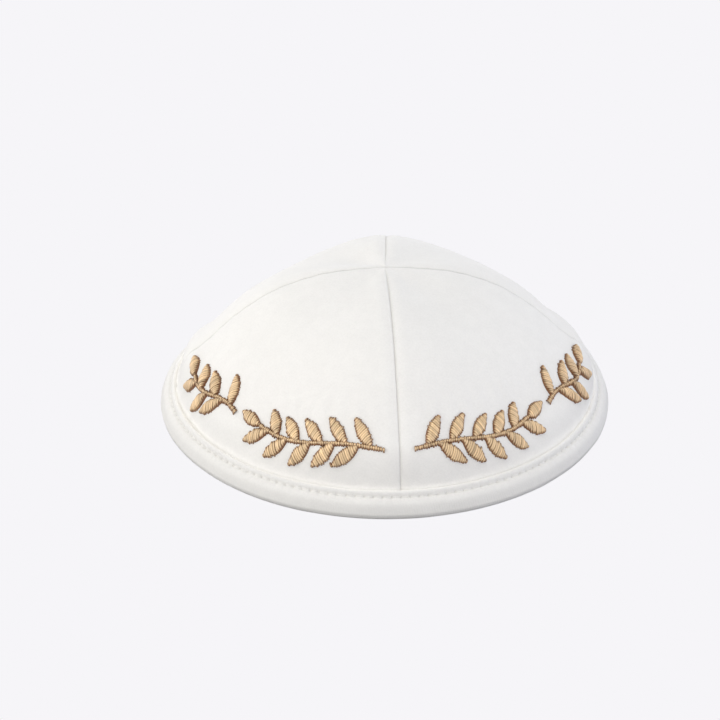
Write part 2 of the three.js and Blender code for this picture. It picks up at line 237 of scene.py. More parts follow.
class PanelCloth:
    """One panel as the solids have it, with its seams, its climb from the binding and its sewn relief."""

    # The steps of the table that says how far up the cloth each place lies
    TABLE_DOWN = 200
    TABLE_ACROSS = 120

    def __init__(self, name, sewing):
        panel = PANELS[name]
        self.start, self.end = math.radians(panel["start"]), math.radians(panel["end"])
        self.sag, self.front, self.sewing = panel["sag"], panel["front"], sewing
        edges = SEWN_EDGES[name]
        self.dips, self.slopes, self.shoulders = edges["dips"], edges["slopes"], edges["shoulders"]
        self.downs = np.linspace(0, 1, self.TABLE_DOWN + 1)
        self.acrosses = np.linspace(0, 1, self.TABLE_ACROSS + 1)
        grid = self.point(self.downs[:, None], self.acrosses[None, :])
        steps = np.linalg.norm(np.diff(grid, axis=0), axis=-1)
        self.climbs = np.zeros(grid.shape[:2])
        self.climbs[:-1] = np.cumsum(steps[::-1], axis=0)[::-1]
        middle = self.down_at(np.array([0.5]), np.array([STEM_CLIMB]))[0]
        self.field_width = ring_radius(middle) * (self.end - self.start)

    def azimuth(self, across):
        """The direction of a place from the cap's middle, at a share across the panel."""
        return self.start + (self.end - self.start) * across

    def point(self, down, across):
        """A point of the outer face, before its sewn relief."""
        middle = np.sin(np.pi * across) ** 2
        drop = profile_value("seam_drop", down) + profile_value(self.sag, down) * middle
        azimuth = self.azimuth(across)
        swell = rim_swell(azimuth) * np.clip((down - RIM_SWELLS_FROM) / (1 - RIM_SWELLS_FROM), 0, 1) ** 2
        return polar(ring_radius(down) + swell, azimuth, CAP_HEIGHT - DOME_RISE * drop)

    def normal(self, down, across):
        """The outward direction, in the upright plane through the crown."""
        step = 0.002
        lower = np.minimum(down + step, 1)
        fall = self.point(lower, across) - self.point(lower - 2 * step, across)
        sideways = polar(1.0, self.azimuth(across) + math.pi / 2, 0.0)
        return unit(np.cross(fall, sideways))

    def down_at(self, across, climb):
        """The share down the cloth that lies a length above its base."""
        column = np.clip(across, 0, 1) * self.TABLE_ACROSS
        left = np.minimum(column.astype(int), self.TABLE_ACROSS - 1)
        share = column - left
        found = [np.array([np.interp(c, self.climbs[::-1, k], self.downs[::-1])
                           for c, k in zip(climb.ravel(), (left + side).ravel())]).reshape(climb.shape)
                 for side in (0, 1)]
        return found[0] * (1 - share) + found[1] * share

    def climb_at(self, down, across):
        """The length of cloth between a place and the panel's base."""
        row = np.clip(down, 0, 1) * self.TABLE_DOWN
        column = np.clip(across, 0, 1) * self.TABLE_ACROSS
        top = np.minimum(row.astype(int), self.TABLE_DOWN - 1)
        left = np.minimum(column.astype(int), self.TABLE_ACROSS - 1)
        y, x = row - top, column - left
        upper = self.climbs[top, left] * (1 - x) + self.climbs[top, left + 1] * x
        lower = self.climbs[top + 1, left] * (1 - x) + self.climbs[top + 1, left + 1] * x
        return upper * (1 - y) + lower * y

    def seam_distances(self, down, across):
        """How far a place lies from the panel's first and second seam, round the cap."""
        radius, width = ring_radius(down), self.end - self.start
        return radius * width * across, radius * width * (1 - across)

    def relief(self, down, across):
        """How far sewing and handling lift or sink the outer face, in millimetres."""
        down, across = np.broadcast_arrays(down, across)
        sewing = self.sewing
        points, climb = self.point(down, across), self.climb_at(down, across)
        height = sewing.unevenness / MM * swells(points, CLOTH_SWELLS)
        room = np.minimum(ring_radius(down) / CROWN_FADE, 1)
        edges = zip(self.seam_distances(down, across), self.dips, self.slopes, self.shoulders)
        for distance, dip, slope, shoulder in edges:
            near_shoulder = bump(climb - SHOULDER_CLIMB, SHOULDER_HEIGHT) * bump(distance, SHOULDER_WIDTH)
            height = height + shoulder * near_shoulder
            foot = 1 - bump(climb, SEAM_FOOT)
            height = height - dip * foot * sewing.seam_dip / MM * np.exp(-distance / SEAM_ROUNDING)
            height = height - room * slope * SEAM_SLOPE * np.exp(-distance / SEAM_SLOPE_REACH)
            height = height + room * sewing.seam_ridge / MM * (
                bump(distance - RIDGE_PLACE, RIDGE_WIDTH) - SEAM_PULL * np.exp(-distance / SEAM_PULL_REACH))
            ripple = np.sin(2 * np.pi * climb / PUCKER_PITCH + swells(points, PUCKER_WANDER))
            reach = np.exp(-distance / PUCKER_REACH)
            height = height + room * sewing.pucker / MM * PUCKER_AT_SEAM * ripple * reach
        beside_lip = CLEARANCE + LIP_RADIUS - np.sqrt(np.maximum(LIP_RADIUS ** 2 - climb ** 2, 0))
        nesting = LIP_NESTING * bump(np.maximum(climb - NESTING_TOP, 0), NESTING_WIDTH)
        height = height + np.minimum(nesting, beside_lip)
        if self.front:
            height = height + self.embroidery_pull(climb, across, points)
        return height

    def embroidery_pull(self, climb, across, points):
        """The dip under the dense stitches, and the short ripples that they draw up above and below."""
        away = across if self.front > 0 else 1 - across
        lift = np.zeros_like(climb)
        for sprig in SPRIGS.values():
            start, end = sprig["start"], sprig["start"] + sprig["length"]
            inside = rise((away - start) / FIELD_FADE) * rise((end - away) / FIELD_FADE)
            lift = lift - FIELD_DIP * inside * bump(climb - STEM_CLIMB, FIELD_HALF_HEIGHT)
            along = away * self.field_width
            wave = np.sin(2 * np.pi * along / RIPPLE_PITCH + swells(points, RIPPLE_WANDER))
            edge = sum(row["share"] * bump(climb - STEM_CLIMB - row["above"], row["width"])
                       for row in RIPPLE_ROWS)
            lift = lift + self.sewing.pucker / MM * inside * edge * (RIPPLE_LIFT + wave)
        return lift

    def place(self, distance, climb, lift):
        """A point over the embroidered field, from its distance from the front seam and its climb."""
        across = distance / self.field_width
        if self.front < 0:
            across = 1 - across
        down = self.down_at(across, climb)
        height = self.relief(down, across) + lift
        return self.point(down, across) + self.normal(down, across) * height[..., None]


# The angle at which a piece's faces meet in an edge and aren't shaded as one
SHARP_ANGLE = math.radians(62)


class Stock:
    """Closed tubes gathered for one mesh, with each corner's place on the flat cloth or thread."""

    def __init__(self):
        self.points, self.quads, self.flats, self.values, self.count = [], [], [], {}, 0

    def tube(self, rings, flat, ring_of_rings=False, **values):
        """Adds a tube through rings of an even count of points.

        flat has one more column than rings has, and one more row where the rings close on themselves.
        """
        n, m = rings.shape[:2]
        row = np.arange(n if ring_of_rings else n - 1)[:, None]
        column = np.arange(m)[None, :]
        rows = np.stack([row, row + 1, row + 1, row], -1) + 0 * column[..., None]
        columns = np.stack([column, column, column + 1, column + 1], -1) + 0 * row[..., None]
        quads = ((rows % n) * m + columns % m).reshape(-1, 4)
        flats = flat[rows, columns].reshape(-1, 4, 2)
        if not ring_of_rings:
            k = np.arange(m // 2 - 1)
            cap = np.stack([k, k + 1, m - 2 - k, m - 1 - k], -1)
            quads = np.concatenate([quads, cap, cap[:, ::-1] + (n - 1) * m])
            flats = np.concatenate([flats, flat[0][cap], flat[-1][cap[:, ::-1]]])
        points = rings.reshape(-1, 3)
        a, b, c, d = (points[quads[:, i]] for i in range(4))
        volume = (a * np.cross(b, c)).sum() + (a * np.cross(c, d)).sum()
        if volume < 0:
            quads, flats = quads[:, ::-1], flats[:, ::-1]
        self.points.append(points)
        self.quads.append(quads + self.count)
        self.flats.append(flats)
        for name, value in values.items():
            self.values.setdefault(name, []).append(np.broadcast_to(value, rings.shape[:2]).ravel())
        self.count += len(points)

    def piece(self, name, material, nodes=()):
        """Makes the mesh a piece that rides on the cap's body, takes a slot's finish and stands for nodes."""
        mesh = bpy.data.meshes.new(name)
        points = np.concatenate(self.points) * MM
        mesh.from_pydata(points.tolist(), [], np.concatenate(self.quads).tolist())
        layer = mesh.uv_layers.new(name="flat")
        layer.data.foreach_set("uv", (np.concatenate(self.flats) * MM).astype(np.float32).ravel())
        for key, found in self.values.items():
            attribute = mesh.attributes.new(key, "FLOAT", "POINT")
            attribute.data.foreach_set("value", np.concatenate(found).astype(np.float32))
        mesh.shade_smooth()
        mesh.set_sharp_from_angle(angle=SHARP_ANGLE)
        mesh.materials.append(material)
        made = bpy.data.objects.new(name, mesh)
        bpy.context.scene.collection.objects.link(made)
        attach(made, "root")
        if nodes:
            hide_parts(*nodes)


def add_node(tree, kind, settings=None, inputs=None):
    """Adds a node with its settings, and each input given a value or linked from a socket."""
    node = tree.nodes.new(kind)
    for name, value in (settings or {}).items():
        setattr(node, name, value)
    for name, value in (inputs or {}).items():
        if isinstance(value, bpy.types.NodeSocket):
            tree.links.new(value, node.inputs[name])
        else:
            node.inputs[name].default_value = value
    return node


# How many radians of its wave Blender's wave texture draws to one unit
WAVE_TURN = 10


def band_scale(period):
    """The scale that sets a wave texture's diagonal bands a period apart, in metres."""
    return 2 * math.pi / (WAVE_TURN * math.sqrt(2) * period)


def start_material(name):
    """An empty node material and its tree."""
    material = bpy.data.materials.new(name)
    material.use_nodes = True
    material.node_tree.nodes.clear()
    return material, material.node_tree


# The sizes of the materials' patterns, in metres
DYE_PATCH = 14 * MM
DYE_FLECK = 3.5 * MM
NAP_TUFT = 0.7 * MM
TWILL_WALE = 0.9 * MM
EMBROIDERY_TWIST = 0.4 * MM
SEWING_TWIST = 0.3 * MM
NAP_RELIEF = 0.12 * MM
EMBROIDERY_RELIEF = 0.06 * MM
SEWING_RELIEF = 0.05 * MM
# How dark the painted shade along seams and in needle holes makes the cloth, next to open cloth
PAINTED_SHADE_TONE = 0.72


def brushed_cotton_twill(name, color, twill_turn):
    """Cotton twill with a brushed face: dead matte, with a soft pale nap that hides most of the weave."""
    material, tree = start_material(name)
    place = add_node(tree, "ShaderNodeTexCoord").outputs["Object"]
    flat = add_node(tree, "ShaderNodeUVMap", {"uv_map": "flat"}).outputs["UV"]
    turned = add_node(tree, "ShaderNodeMapping", {}, {"Vector": flat, "Rotation": (0, 0, twill_turn)})
    # The dye and the nap's lie vary in wide patches and small flecks
    patches = add_node(tree, "ShaderNodeTexNoise", {}, {
        "Vector": place, "Scale": 1 / DYE_PATCH, "Detail": 2.0})
    flecks = add_node(tree, "ShaderNodeTexNoise", {}, {
        "Vector": place, "Scale": 1 / DYE_FLECK, "Detail": 3.0})
    # The nap's fibre tufts are 0.2 mm in the real cloth, and drawn at 0.7 mm so that they show
    nap = add_node(tree, "ShaderNodeTexNoise", {}, {
        "Vector": place, "Scale": 1 / NAP_TUFT, "Detail": 4.0, "Roughness": 0.65})
    # The twill's wales are 0.45 mm apart in the real cloth, and drawn at 0.9 mm so that they show
    wales = add_node(tree, "ShaderNodeTexWave", {"bands_direction": "DIAGONAL"}, {
        "Vector": turned.outputs["Vector"], "Scale": band_scale(TWILL_WALE), "Distortion": 1.2,
        "Detail": 1.0})
    mottle = add_node(tree, "ShaderNodeMath", {"operation": "MULTIPLY"}, {
        0: patches.outputs["Fac"], 1: flecks.outputs["Fac"]})
    shade = add_node(tree, "ShaderNodeMapRange", {}, {
        "Value": mottle.outputs[0], "From Min": 0.12, "From Max": 0.4, "To Min": 0.975, "To Max": 1.0})
    fibre = add_node(tree, "ShaderNodeMapRange", {}, {
        "Value": nap.outputs["Fac"], "From Min": 0.3, "From Max": 0.6, "To Min": 0.955, "To Max": 1.0})
    dyed = add_node(tree, "ShaderNodeMath", {"operation": "MULTIPLY"}, {
        0: shade.outputs["Result"], 1: fibre.outputs["Result"]})
    # Painted shade darkens the cloth along sewn lines and at needle holes, where the grooves lie in shade. On
    # a fold's crest, where the value is below 0, a painted highlight makes the cloth paler.
    sewn = add_node(tree, "ShaderNodeAttribute", {"attribute_name": "sewn_shade"})
    painted_shading = add_node(tree, "ShaderNodeMapRange", {"clamp": False}, {
        "Value": sewn.outputs["Fac"], "To Min": 1.0, "To Max": PAINTED_SHADE_TONE})
    tone = add_node(tree, "ShaderNodeMath", {"operation": "MULTIPLY"}, {
        0: dyed.outputs[0], 1: painted_shading.outputs["Result"]})
    cloth = add_node(tree, "ShaderNodeVectorMath", {"operation": "SCALE"}, {
        0: color, "Scale": tone.outputs[0]})
    height = add_node(tree, "ShaderNodeMath", {"operation": "MULTIPLY_ADD"}, {
        0: wales.outputs["Fac"], 1: 0.3, 2: nap.outputs["Fac"]})
    relief = add_node(tree, "ShaderNodeBump", {}, {
        "Strength": 0.35, "Distance": NAP_RELIEF, "Height": height.outputs[0]})
    shader = add_node(tree, "ShaderNodeBsdfPrincipled", {}, {
        "Base Color": cloth.outputs[0], "Roughness": 0.94, "IOR": 1.5, "Specular IOR Level": 0.2,
        "Sheen Weight": 0.18, "Sheen Roughness": 0.45, "Normal": relief.outputs["Normal"]})
    add_node(tree, "ShaderNodeOutputMaterial", {}, {"Surface": shader.outputs["BSDF"]})
    return material


def rayon_embroidery_thread(name, color, painted_shade_color):
    """Bright rayon laid as satin stitch: a soft gleam along each strand, and painted shade at its ends, sides
    and underside.
    """
    material, tree = start_material(name)
    end = add_node(tree, "ShaderNodeAttribute", {"attribute_name": "strand_end"})
    tint = add_node(tree, "ShaderNodeAttribute", {"attribute_name": "strand_tone"})
    flat = add_node(tree, "ShaderNodeUVMap", {"uv_map": "flat"}).outputs["UV"]
    # The plies' twist is 0.25 mm in the real thread, and drawn at 0.4 mm
    twist = add_node(tree, "ShaderNodeTexWave", {"bands_direction": "DIAGONAL"}, {
        "Vector": flat, "Scale": band_scale(EMBROIDERY_TWIST)})
    # Painted shade: towards the strands' ends, round their sides and underside, and on the padding, the
    # darker colour is mixed in
    mixed = add_node(tree, "ShaderNodeMix", {"data_type": "RGBA"}, {
        "Factor": end.outputs["Fac"], 6: (*color, 1.0), 7: (*painted_shade_color, 1.0)})
    dyed = add_node(tree, "ShaderNodeVectorMath", {"operation": "SCALE"}, {
        0: mixed.outputs[2], "Scale": tint.outputs["Fac"]})
    relief = add_node(tree, "ShaderNodeBump", {}, {
        "Strength": 0.4, "Distance": EMBROIDERY_RELIEF, "Height": twist.outputs["Fac"]})
    shader = add_node(tree, "ShaderNodeBsdfPrincipled", {}, {
        "Base Color": dyed.outputs[0], "Metallic": 0.15, "Roughness": 0.36, "IOR": 1.5,
        "Specular IOR Level": 0.9, "Normal": relief.outputs["Normal"]})
    add_node(tree, "ShaderNodeOutputMaterial", {}, {"Surface": shader.outputs["BSDF"]})
    return material


def spun_polyester_thread(name, color):
    """White spun sewing thread: matte, slightly hairy twist, a shade cleaner than the cloth."""
    material, tree = start_material(name)
    flat = add_node(tree, "ShaderNodeUVMap", {"uv_map": "flat"}).outputs["UV"]
    # The plies' twist is as fine as in the real thread, 0.3 mm
    twist = add_node(tree, "ShaderNodeTexWave", {"bands_direction": "DIAGONAL"}, {
        "Vector": flat, "Scale": band_scale(SEWING_TWIST), "Distortion": 0.5})
    lint = add_node(tree, "ShaderNodeMapRange", {}, {
        "Value": twist.outputs["Fac"], "To Min": 0.9, "To Max": 1.0})
    spun = add_node(tree, "ShaderNodeVectorMath", {"operation": "SCALE"}, {
        0: color, "Scale": lint.outputs["Result"]})
    relief = add_node(tree, "ShaderNodeBump", {}, {
        "Strength": 0.5, "Distance": SEWING_RELIEF, "Height": twist.outputs["Fac"]})
    shader = add_node(tree, "ShaderNodeBsdfPrincipled", {}, {
        "Base Color": spun.outputs[0], "Roughness": 0.7, "IOR": 1.5, "Sheen Weight": 0.2,
        "Normal": relief.outputs["Normal"]})
    add_node(tree, "ShaderNodeOutputMaterial", {}, {"Surface": shader.outputs["BSDF"]})
    return material


def lit_opal_acrylic(name, color):
    """Opal acrylic sheet lit from below, as a product table has it: one even pale tone without a shadow."""
    material, tree = start_material(name)
    shader = add_node(tree, "ShaderNodeBsdfPrincipled", {}, {
        "Base Color": (0.0, 0.0, 0.0, 1.0), "Roughness": 1.0, "IOR": 1.5, "Specular IOR Level": 0.0,
        "Emission Color": (*color, 1.0), "Emission Strength": 1.0})
    add_node(tree, "ShaderNodeOutputMaterial", {}, {"Surface": shader.outputs["BSDF"]})
    return material


class KippahSewing(bpy.types.PropertyGroup):
    """Sizes of the sewing that a user would change."""

    seam_dip: FloatProperty(
        name="Seam dip", description="How deep the cloth turns down at a sewn seam", default=0.9 * MM,
        min=0, max=2 * MM, precision=5, unit="LENGTH")
    seam_ridge: FloatProperty(
        name="Seam ridge", description="How far the turned allowance lifts the cloth beside a seam",
        default=0.22 * MM, min=0, max=MM, precision=5, unit="LENGTH")
    pucker: FloatProperty(
        name="Pucker", description="Height of the ripples beside seams and embroidery", default=0.16 * MM,
        min=0, max=MM, precision=5, unit="LENGTH")
    unevenness: FloatProperty(
        name="Unevenness", description="Height of the cloth's soft swells", default=0.34 * MM,
        min=0, max=2 * MM, precision=5, unit="LENGTH")
    stitch_pitch: FloatProperty(
        name="Stitch length", description="Topstitch length along the binding", default=3.3 * MM,
        min=2 * MM, max=5 * MM, precision=5, unit="LENGTH")
    stitch_thread: FloatProperty(
        name="Stitch thread", description="Thickness of the topstitching thread", default=0.36 * MM,
        min=0.1 * MM, max=MM, precision=5, unit="LENGTH")
    strand_pitch: FloatProperty(
        name="Strand pitch", description="Distance between the embroidery's laid strands", default=0.84 * MM,
        min=0.3 * MM, max=1.5 * MM, precision=5, unit="LENGTH")


class KippahColours(bpy.types.PropertyGroup):
    """Colours that a user would change."""

    panels: FloatVectorProperty(
        name="Panels", description="Colour of the four panels' cloth", subtype="COLOR", size=3,
        default=linear("#f3f1ec"))
    binding: FloatVectorProperty(
        name="Binding", description="Colour of the binding's cloth", subtype="COLOR", size=3,
        default=linear("#f2f0eb"))
    stitching: FloatVectorProperty(
        name="Topstitching", description="Colour of the sewing thread", subtype="COLOR", size=3,
        default=linear("#f1efea"))
    gold: FloatVectorProperty(
        name="Embroidery", description="Colour of the laid strands", subtype="COLOR", size=3,
        default=linear("#f0d0a1"))
    # Painted shade: the darker colour of the strands' ends, sides and underside and of the padding between
    # them
    gold_painted_shade: FloatVectorProperty(
        name="Embroidery ends", description="Colour where the strands dive into the cloth", subtype="COLOR",
        size=3, default=linear("#77460f"))
    table: FloatVectorProperty(
        name="Table", description="Glow of the light table", subtype="COLOR", size=3,
        default=linear("#f6f5f8"))


# The panels' columns of points beside a seam in millimetres from it, then evenly spread to the panel's middle
SEAM_EDGE_GAP = 0.03
SEAM_COLUMNS = (SEAM_EDGE_GAP / 2, 0.12, 0.26, 0.42, 0.6, 0.85, 1.2, 1.7, 2.4, 3.4, 4.7, 6.3)
SEAM_COLUMNS_REACH = 7.0
MIDDLE_COLUMNS = 34
# The panels' edges: the painted shade along a seam, the allowance turned inside, and the hole left at the
# crown
SEAM_SHADE_WIDTH = 0.42
ALLOWANCE_WIDTH = 6.5
ALLOWANCE_THICKNESS = 0.9
ALLOWANCE_START = 0.5
ALLOWANCE_EDGE = 0.25
ALLOWANCE_CROWN_FADE = 15.0
CROWN_OPENING = 0.25
PANEL_TWILL_TURN = math.radians(10)


def columns_across(radius, width):
    """Shares across a panel, close together beside its two seams, at each ring's radius."""
    half = (radius * width / 2)[:, None]
    scale = np.minimum(half / (2 * SEAM_COLUMNS_REACH), 1)
    near = SEAM_COLUMNS_REACH * scale
    far = near + (half - near) * np.linspace(0, 1, MIDDLE_COLUMNS + 1)
    side = np.concatenate([np.array(SEAM_COLUMNS) * scale, far], axis=1) / (2 * half)
    return np.concatenate([side, 1 - side[:, -2::-1]], axis=1)


class KIPPAH_OT_sew_panels(bpy.types.Operator):
    """Cuts and sews the four cloth panels, with their seam allowances turned inside"""

    bl_idname = "kippah.sew_panels"
    bl_label = "Sew the panels"
    # Rows of points down a panel, closer together beside the lip, and then inside the binding
    ROWS = 92
    LIP_ROWS = 12
    LIP_ROWS_FROM = 0.972
    TUCK_ROWS = 6

    def execute(self, context):
        sewing, colours = context.scene.kippah_sewing, context.scene.kippah_colours
        material = brushed_cotton_twill("brushed_cotton_twill_panels", colours.panels[:], PANEL_TWILL_TURN)
        for name in PANELS:
            cloth = PanelCloth(name, sewing)
            stock = Stock()
            self.lay_out(cloth, stock)
            stock.piece(f"cloth_panel_{name}", material, [f"panel_{name}"])
        return {"FINISHED"}

    def lay_out(self, cloth, stock):
        """Lays a panel's outer face, its tuck into the binding and its inside as one closed tube."""
        crown = math.asin(CROWN_OPENING * math.sin(DOME_SWEEP) / CLOTH_BASE[0]) / DOME_SWEEP
        down = np.concatenate([np.linspace(crown, self.LIP_ROWS_FROM, self.ROWS),
                               np.linspace(self.LIP_ROWS_FROM, 1, self.LIP_ROWS + 1)[1:]])[:, None]
        across = columns_across(ring_radius(down[:, 0]), cloth.end - cloth.start)
        down = np.broadcast_to(down, across.shape)
        surface, normal = cloth.point(down, across), cloth.normal(down, across)
        relief = cloth.relief(down, across)
        from_seams = cloth.seam_distances(down, across)
        nearest = np.minimum(*from_seams)
        room = np.minimum(ring_radius(down) / ALLOWANCE_CROWN_FADE, 1)
        allowance = rise((ALLOWANCE_WIDTH * room - nearest) / ALLOWANCE_EDGE)
        allowance = allowance * (1 - np.exp(-nearest / ALLOWANCE_START)) * room
        depth = CLOTH_THICKNESS + ALLOWANCE_THICKNESS * allowance + swells(surface, INSIDE_SWELLS)
        tuck = np.linspace(0, TUCK_LENGTH, self.TUCK_ROWS + 1)[1:]
        azimuth = cloth.azimuth(across[-1])
        settle = np.linspace(1, 0, self.TUCK_ROWS)[:, None] * np.minimum(relief[-1:], 0)
        outer = np.concatenate([surface + normal * relief[..., None],
                                self.tucked(tuck, azimuth, TUCK_DEPTH, settle)])
        inner = np.concatenate([surface - normal * depth[..., None],
                                self.tucked(tuck, azimuth, TUCK_DEPTH - CLOTH_THICKNESS, 0 * settle)])
        rings = np.concatenate([outer, inner[:, ::-1]], axis=1)
        sideways = np.concatenate([from_seams[0], np.repeat(from_seams[0][-1:], self.TUCK_ROWS, 0)])
        climb = np.concatenate([cloth.climb_at(down, across), np.repeat(-tuck[:, None], across.shape[1], 1)])
        flat = np.stack([sideways, climb], -1)
        flat = np.concatenate([flat, flat[:, ::-1], flat[:, :1]], axis=1)
        # Painted shade along each seam's groove, as strong as the seam's dip
        painted_shading = [dip * bump(distance, SEAM_SHADE_WIDTH) for distance, dip in zip(from_seams, cloth.dips)]
        shade = np.zeros(rings.shape[:2])
        shade[:len(down), :down.shape[1]] = np.maximum(*painted_shading) * room
        stock.tube(rings, flat, sewn_shade=shade)

    def tucked(self, tuck, azimuth, depth, lift):
        """Rows of the cloth inside the binding, at a depth of its section and lifted from there."""
        section = from_lip(tuck, depth)
        radius = section[:, :1] + OUT[0] * lift
        return polar(radius + rim_swell(azimuth), azimuth[None, :], section[:, 1:] + OUT[1] * lift)


def spline(knots, steps):
    """A smooth line through knots, with steps points to each stretch."""
    knots = np.array(knots)
    padded = np.concatenate([knots[:1], knots, knots[-1:]])
    t = np.linspace(0, 1, steps, endpoint=False)[:, None]
    line = []
    for before, start, end, after in zip(padded, padded[1:], padded[2:], padded[3:]):
        leave, arrive = (end - before) / 2, (after - start) / 2
        line.append((2 * t ** 3 - 3 * t ** 2 + 1) * start + (t ** 3 - 2 * t ** 2 + t) * leave
                    + (3 * t ** 2 - 2 * t ** 3) * end + (t ** 3 - t ** 2) * arrive)
    return np.concatenate([*line, knots[-1:]])


def bend(start, control, end, steps):
    """A single bend between two points, towards a control point."""
    t = np.linspace(0, 1, steps + 1)[:, None]
    return (1 - t) ** 2 * start + 2 * t * (1 - t) * control + t ** 2 * end


def arc(middle, radius, turn_from, turn_to, steps):
    """An arc of the section, between two directions."""
    angle = np.linspace(turn_from, turn_to, steps + 1)
    return middle + radius * np.stack([np.cos(angle), np.sin(angle)], -1)


CHANNEL_INNER = TUCK_DEPTH - CLOTH_THICKNESS - CLEARANCE
WING_FACE = CHANNEL_INNER - WING_THICKNESS
# Rows down the binding's face, in millimetres from the lip's middle, close together at the stitched valley
FACE_ROWS = (0.3, 0.6, 0.85, 1.05, 1.22, 1.36, 1.5, 1.64, 1.78, 1.96, 2.2, 2.5, 2.85, 3.25, 3.7, 4.2, 4.7,
             5.2, 5.8, 6.4, 7.0, 7.5)
# Points along the rounded parts of the binding's section
LIP_STEPS = 12
FACE_STEPS = 60
ROLL_STEPS = 7
WING_ROWS = 7
WING_END_STEPS = 6
# The stitched valley, the painted shade in its needle holes, and the painted highlight on the crest of the
# fold above it, in millimetres and shares
VALLEY_DIP = 0.42
VALLEY_WIDTH = 0.52
HOLE_DIP = 0.34
HOLE_WIDTH = 0.3
HOLE_STRETCH = 1.9
HOLE_PAINTED_SHADE = 0.5
QUILTING = 0.16
QUILTING_WIDTH = 2.4
QUILTING_REST = 0.6
CREST_PAINTED_HIGHLIGHT = 0.5
CREST_FALL = -0.9
CREST_WIDTH = 0.35
# Soft swells of the strip, and the drag lines below its stitches, which run down it and repeat round the rim
BINDING_SWELLS = ((0.16, 11.0, 10.0), (0.22, 34.0, 70.0))
DRAG_HEIGHT = 0.1
DRAG_LINES = 22.0
DRAG_FALL = 0.12
DRAG_PLACE = 3.0
DRAG_WIDTH = 3.0
# How much relief shows where the wing rolls under, and how much of the stitches' relief and of the swells the
# wing has
WING_ROLL_SHOWN = 0.3
WING_STITCHED = 0.6
WING_SWELL = 0.5
# The binding's columns of points along one stitch, as shares of it, close together at its needle holes
STITCH_COLUMNS = (0.0, 0.055, 0.13, 0.29, 0.5, 0.71, 0.87, 0.945)
BINDING_TWILL_TURN = math.radians(55)


class BindingStrip:
    """The folded binding's section, its outward directions and the relief that its stitches give it."""

    def __init__(self, sewing):
        bulge = np.array([RIM_RADIUS, BULGE_HEIGHT])
        lip = arc(LIP_MIDDLE, LIP_RADIUS, BINDING_LEAN + math.pi, BINDING_LEAN, LIP_STEPS)
        valley, puff = from_lip(STITCH_DROP, STITCH_DEPTH), from_lip(PUFF_DROP, PUFF_DEPTH)
        fine = spline([lip[-1], valley, puff, bulge], FACE_STEPS)
        fall = (fine - LIP_MIDDLE) @ ALONG
        face = np.stack([np.interp(FACE_ROWS, fall, fine[:, i]) for i in (0, 1)], -1)
        foot_outer = np.array([RIM_RADIUS - FOOT_INSET, 0.0])
        foot_inner = foot_outer - (FOOT_WIDTH, 0)
        roll = bend(bulge, np.array([RIM_RADIUS, BULGE_HEIGHT / 3]), foot_outer, ROLL_STEPS)
        at_table = from_lip(from_lip(0, WING_FACE)[1] / -ALONG[1], WING_FACE)
        wing_roll = bend(foot_inner, at_table, from_lip(TUCK_LENGTH, WING_FACE), ROLL_STEPS)
        wing = from_lip(np.linspace(TUCK_LENGTH, 0, WING_ROWS + 2)[1:-1], WING_FACE)
        wing_end = arc(from_lip(0, CHANNEL_INNER - WING_THICKNESS / 2), WING_THICKNESS / 2,
                       BINDING_LEAN + math.pi, BINDING_LEAN, WING_END_STEPS)
        floor = TUCK_LENGTH + CLEARANCE
        channel = np.array([from_lip(floor, CHANNEL_INNER), from_lip(floor, TUCK_DEPTH + CLEARANCE)])
        # Each part with the share of the relief that it shows
        parts = ((lip, 1), (face, 1), (roll, 1), (foot_inner[None], 0), (wing_roll[1:], WING_ROLL_SHOWN),
                 (wing, 1), (wing_end, 1), (channel, 0))
        self.section = np.concatenate([part for part, _ in parts])
        self.shown = np.concatenate([np.full(len(part), float(share)) for part, share in parts])
        ahead = np.roll(self.section, -1, 0) - np.roll(self.section, 1, 0)
        self.normals = unit(np.stack([-ahead[:, 1], ahead[:, 0]], -1))
        self.fall = (self.section - LIP_MIDDLE) @ ALONG
        self.outer = (self.section - LIP_MIDDLE) @ OUT > TUCK_DEPTH + 2 * CLEARANCE
        self.stitch_count = round(2 * math.pi * valley[0] / (sewing.stitch_pitch / MM))
        self.stitch_turn = 2 * math.pi / self.stitch_count
        self.stitch_length = self.stitch_turn * valley[0]

    def hole_distance(self, azimuth):
        """How far round the rim the nearest needle hole is, in millimetres."""
        share = (azimuth / self.stitch_turn + 0.5) % 1 - 0.5
        return share * self.stitch_length

    def at_hole(self, azimuth, fall):
        """How near a place is to a needle hole: 1 at the hole, nearly 0 away from it."""
        return bump(np.hypot(self.hole_distance(azimuth) / HOLE_STRETCH, fall - STITCH_DROP), HOLE_WIDTH)

    def relief(self, azimuth, fall, points, outer):
        """How far stitches and folding lift or sink the strip's face, in millimetres."""
        off_line = fall - STITCH_DROP
        stitched = -VALLEY_DIP * bump(off_line, VALLEY_WIDTH) - HOLE_DIP * self.at_hole(azimuth, fall)
        arch = np.abs(np.sin(math.pi * azimuth / self.stitch_turn)) - QUILTING_REST
        quilted = QUILTING * arch * bump(off_line, QUILTING_WIDTH)
        swell = swells(points, BINDING_SWELLS)
        lines = np.stack(np.broadcast_arrays(azimuth * DRAG_LINES, fall * DRAG_FALL, 0 * azimuth), -1)
        drag = DRAG_HEIGHT * rough(lines, 1.0) * bump(off_line - DRAG_PLACE, DRAG_WIDTH)
        return np.where(outer, stitched + quilted + swell + drag,
                        WING_STITCHED * stitched + WING_SWELL * swell)


